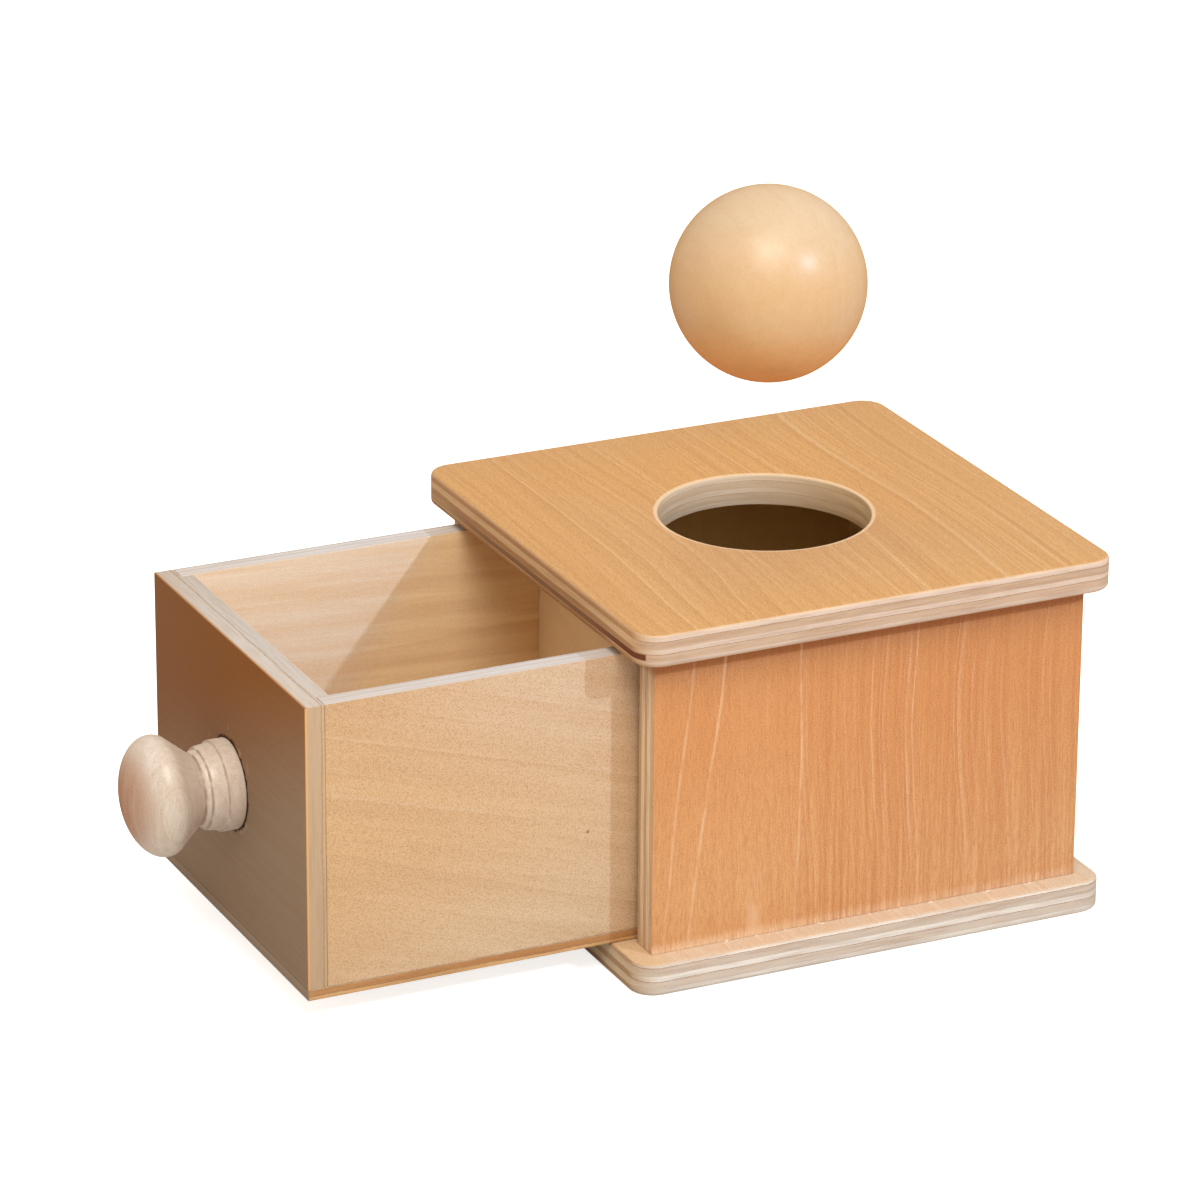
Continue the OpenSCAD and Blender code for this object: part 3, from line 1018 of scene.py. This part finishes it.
by_front = ramp_up(at["Y"], front_low.y + RUBBED_WIDTH, front_low.y + RUBBED_WIDTH / 2)
either_end = maths("ABSOLUTE", at["X"])
at_end = ramp_up(either_end, front_high.x - RUBBED_FROM, front_high.x - RUBBED_FULL)
at_top = ramp_up(at["Z"], front_high.z - RUBBED_FROM, front_high.z - RUBBED_FULL)
lay_over("drawer_front", times(by_front, at_end), RUBBED_END, 0.8)
lay_over("drawer_front", times(by_front, at_top), RUBBED_TOP, 0.7)

_, at = place_on("drawer_bottom")
run_down = ramp_up(at["Y"], front_low.y + RUN_END, front_low.y + RUN_FULL)
# Real lacquer over the bottom's front edge, in the front's grey lower tone, which is a painted sheen.
lay_over("drawer_bottom", run_down, FRONT_SHEEN)
print("seat ring at", round(KNOB_BASE_RADIUS / MM, 1), "mm, two rubbed edges")

# %% [markdown]
# The lid's hole was sawn last, so its wall is pale raw wood, laid on paler still to lift the shade inside the
# hole, which is painted light. Round the hole's upper edge runs a pale line. The lid's upper edge is a little
# worn as well.
# The hole's masks are distances from its axis, and the edge's are heights.

# %% The lid's hole and rims
HOLE_PALE = colour(238, 222, 186)
RIM_PALE = colour(246, 224, 194)
lid_low, lid_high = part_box("lid")
sanded_rim = hole_radius + HOLE_EASE


def below_top(depth_mm):
    """A height, as a depth below the lid's upper face."""
    return lid_high.z - depth_mm * MM


_, at = place_on("lid")
radius = from_axis(at["X"], at["Y"])
# The hole's wall: pale raw wood, partly painted light that lifts its shade.
hole_wall = ramp_up(radius, hole_radius + 0.4 * MM, hole_radius + 0.1 * MM)
lay_over("lid", hole_wall, HOLE_PALE, 0.30)
rim_line = ramp_up(radius, sanded_rim + 0.8 * MM, sanded_rim + 0.3 * MM)
rim_line = times(rim_line, ramp_up(at["Z"], below_top(0.5), below_top(0.2)))
lay_over("lid", rim_line, RIM_PALE, 0.5)
worn_low = ramp_up(at["Z"], below_top(0.75), below_top(0.45))
worn_high = ramp_up(at["Z"], below_top(0.08), below_top(0.25))
lay_over("lid", times(worn_low, worn_high), RIM_PALE, 0.15)
print("hole wall and rim at", round(hole_radius / MM, 1), "mm")

# %% [markdown]
# One ply of the lid has a gap: a dark groove along the front edge, darkest near the corner where it ends.
# It is as shallow as a scratch, so a mask will do: a band by height, cut off by place along the edge.

# %% The gap in the lid
GAP_BROWN = colour(112, 64, 42)
GAP_PLY = (0.20, 0.41)
GAP_SOFT = 0.25 * MM
gap_floor, gap_roof = (lid_low.z + (lid_high.z - lid_low.z) * part for part in GAP_PLY)
above = ramp_up(at["Z"], gap_floor, gap_floor + GAP_SOFT)
below = ramp_up(at["Z"], gap_roof, gap_roof - GAP_SOFT)
at_front = ramp_up(at["Y"], lid_low.y + 6 * MM, lid_low.y + 3 * MM)
until_corner = ramp_up(at["X"], lid_high.x - 2 * MM, lid_high.x - 2.4 * MM)
from_left = ramp_up(at["X"], lid_low.x, lid_low.x + 60 * MM, 0.35, 0.75)
darkest = ramp_up(at["X"], lid_high.x - 40 * MM, lid_high.x - 8 * MM, 0.0, 0.25)
groove = times(above, below, at_front, until_corner, maths("ADD", from_left, darkest))
lay_over("lid", groove, GAP_BROWN)
print("gap", round((gap_roof - gap_floor) / MM, 1), "mm high in the lid's edge")

# %% [markdown]
# The right wall's veneer is plain towards the drawer, where three pale lines lean across it and a short pale
# flame stands at its foot. A growth pattern would put such lines anywhere, so they are drawn one by one: each
# is a narrow band round a slanted line, given by where it leaves the foot of the wall, where it meets the
# lid, and how clearly it shows.

# %% Pale lines on the right wall
LINE_PALE = colour(238, 200, 164)
LINE_WIDTH = 0.65 * MM
WANDER_SCALE, LINE_WANDER = 22.0, 4 * MM
BREAK_SCALE = 130.0
LEANING_LINES = (
    (-59.8 * MM, -52.2 * MM, 0.36),
    (-52.5 * MM, -42.8 * MM, 0.48),
    (-20.4 * MM, -21.2 * MM, 0.40),
)
FLAME_PLACE, FLAME_WIDTH, FLAME_TOP = -32.7 * MM, 3.5 * MM, 34 * MM
spot, at = place_on("right_wall")
outside = ramp_up(at["X"], wall_high.x - 1.0 * MM, wall_high.x - 0.5 * MM)
broken = ramp_up(noise(spot, BREAK_SCALE, 3.0), 0.34, 0.56, 0.25, 1.0)
bent_y = maths("ADD", at["Y"], sway(spot, WANDER_SCALE, 1.0, LINE_WANDER))
shown = times(outside, broken)


def beside(foot, head):
    """How far a point lies from a line that leans from foot to head."""
    lean = (head - foot) / (wall_high.z - wall_low.z)
    line = maths("ADD", times(at["Z"], lean), foot - lean * wall_low.z)
    return maths("ABSOLUTE", maths("SUBTRACT", bent_y, line))


for foot, head, strength in LEANING_LINES:
    stripe = ramp_up(beside(foot, head), LINE_WIDTH, 0.0)
    lay_over("right_wall", times(stripe, shown), LINE_PALE, strength)
flame = ramp_up(beside(FLAME_PLACE, FLAME_PLACE), FLAME_WIDTH, 0.0)
flame = times(flame, ramp_up(at["Z"], FLAME_TOP, wall_low.z))
lay_over("right_wall", times(flame, shown), LINE_PALE, 0.5)
print(len(LEANING_LINES), "pale lines and a flame on the right wall")

# %% [markdown]
# The knob and the ball are solid wood, turned and lacquered.
# They have no plies, so they take the wood's colour alone, with the grain running through the piece, and a
# clear coat on top. The coat mirrors the lamps, but it would also ring each piece with the white of the room,
# so its weight falls off towards the outline. The knob's whitish face is partly a painted sheen, and its dome
# darkens towards the tip with painted shade. The ball is painted paler at its top, painted light from above,
# and warmer at its foot, a painted reflection of the lid. The knob's turned grooves are darkened with painted
# shade, drawn as joint lines are. The ball hangs in the air above its hole, and casts no shadow there.

# %% Turned wood
TURNED_SHEEN = (-0.03, 0.04)
TURNED_RELIEF = 0.05 * MM
COAT_FULL, COAT_END = 0.35, 0.9
KNOB_LOOK = {
    # The knob's whitish tones are partly a painted sheen, and the fade towards the tip of its dome is painted
    # shade.
    **tones((225, 215, 208), (219, 202, 190), (196, 166, 147), (231, 224, 218), (184, 150, 130)),
    "fades": ((THROUGH, -181 * MM, -186.2 * MM, colour(173, 114, 79)),),
    "streak_width": 1.4 * MM, "stretch": 18.0, "grit": 0.5 * MM, "wander": 8 * MM,
    "years": ((4.5 * MM, 0.2, 0.15, 0.25, 0.0),),
    "cloudy": 0.6, "streaky": 0.40, "flecked": 0.30, "sandy": 0.1, "gritty": 0.08,
    "roughness": 0.45, "gloss": 0.0, "coat": 1.0, "coat_roughness": 0.31, "relief": 0.15,
}
BALL_LOOK = KNOB_LOOK | {
    **tones((215, 172, 125), (218, 179, 136), (203, 157, 107), (228, 196, 160), (204, 159, 112)),
    # Painted light: the ball is paler towards its top, as lit from above, and warmer towards its foot, a
    # painted reflection of the lid.
    "fades": (
        (THROUGH, 168 * MM, 192 * MM, colour(211, 185, 156)),
        (THROUGH, 167 * MM, 143 * MM, colour(246, 177, 117)),
    ),
    "streak_width": 3 * MM, "stretch": 8.0, "grit": 0.8 * MM, "wander": 14 * MM,
    "years": ((7 * MM, 0.3, 0.1, 0.12, 0.0),),
    "streaky": 0.25, "flecked": 0.08, "sandy": 0.10, "gritty": 0.10,
    "coat": 0.9, "coat_roughness": 0.35, "relief": 0.05,
}


def turned_wood(name, axes, look):
    material, tree = new_material(name)
    place, _, _ = board_place(tree, *axes)
    tone, fibre = wood_colour(place, look)
    edge_on = wire("LayerWeight", {"Blend": 0.5}, tree).outputs["Facing"]
    return material, shade({
        "Base Color": tone,
        "Roughness": sheen(fibre, look["roughness"], TURNED_SHEEN),
        "Specular IOR Level": look["gloss"],
        "Coat Weight": ramp_up(edge_on, COAT_FULL, COAT_END, look["coat"], 0.0),
        "Coat Roughness": look["coat_roughness"],
        "Normal": relief(fibre["Fleck"], look["relief"], TURNED_RELIEF),
    })


for key, name, axes, look in (
    ("knob", "knob_maple", "zxy", KNOB_LOOK), ("ball", "ball_lacquer", "xyz", BALL_LOOK),
):
    material, shaders[key] = turned_wood(name, axes, look)
    pieces[key].data.materials.append(material)
# Painted shade in the knob's turned grooves.
for height in (flange, bead, neck):
    joint_and_shade_line("knob", "y", knob_high.y - height, 0.45)
pieces["ball"].visible_shadow = False
print("turned pieces finished")

# %% [markdown]
# Dried glue is a dull white with a hint of yellow, thinner and clearer in places. The dowels and the screw
# keep their CAD shapes, since nothing better can be seen of them: the dowels get plain pale wood, and the
# screw is zinc plated.
# Glue and zinc have no grain, so for both one noise drives the colour and the roughness.

# %% Glue, dowels and screw
DOWEL_LOOK = KNOB_LOOK | {"face": colour(226, 200, 160), "coat": 0.0, "roughness": 0.6}


def blotchy(name, scale, detail, first, second, smooth, rough, metallic=0.0):
    """A material whose colour and roughness follow one noise."""
    material, tree = new_material(name)
    blotch = noise(wire("TexCoord", tree=tree).outputs["Object"], scale, detail)
    shade({
        "Base Color": mix_colour(blotch, first, second),
        "Roughness": ramp_up(blotch, 0.3, 0.7, smooth, rough),
        "Metallic": metallic,
    })
    return material


glue = blotchy("dried_glue", 1500.0, 2.0, colour(250, 246, 236), colour(236, 218, 190), 0.35, 0.55)
pieces["glue_specks"].data.materials.append(glue)
dowel_wood, _ = turned_wood("dowel_wood", "zxy", DOWEL_LOOK)
zinc = blotchy("zinc_plate", 900.0, 3.0, colour(196, 196, 192), colour(214, 212, 205), 0.25, 0.42, 1.0)
hidden = dict.fromkeys(("base_dowels", "lid_dowels", "back_wall_dowels"), dowel_wood) | {"knob_screw": zinc}
for node, material in hidden.items():
    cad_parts[node].data.materials.clear()
    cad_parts[node].data.materials.append(material)
print("glue on", GLUE_COUNT, "specks,", len(hidden), "CAD nodes finished")
